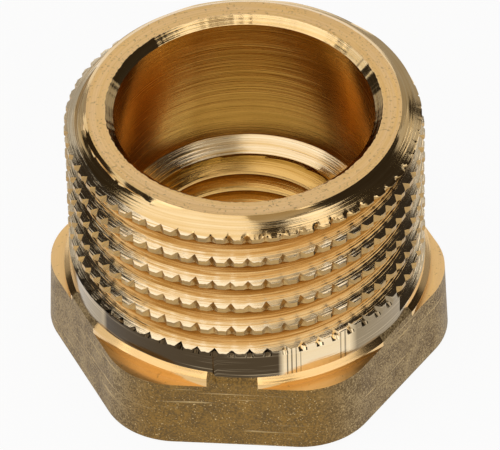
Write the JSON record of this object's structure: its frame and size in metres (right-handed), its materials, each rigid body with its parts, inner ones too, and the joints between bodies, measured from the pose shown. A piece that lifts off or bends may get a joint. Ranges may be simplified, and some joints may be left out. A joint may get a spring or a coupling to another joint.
{
  "type": "hex bushing",
  "caption": "Short reducing hex bushing for pipework: a male pipe thread with a scored crest above a low hexagon, bored through and tapped smaller at the hexagon end.",
  "frame": {"origin": "centre of the hexagon's flat end face, on the bore axis", "axes": "+Z along the bore axis towards the male end; one side of the hexagon faces -Y and two of its corners lie on X"},
  "size_m": [0.0236, 0.0216, 0.017],
  "materials": {
    "brass": "machined yellow brass, with the sides of the hexagon left as forged and dull"
  },
  "bodies": {
    "root": {"hex_bushing": "brass"}
  },
  "joints": []
}
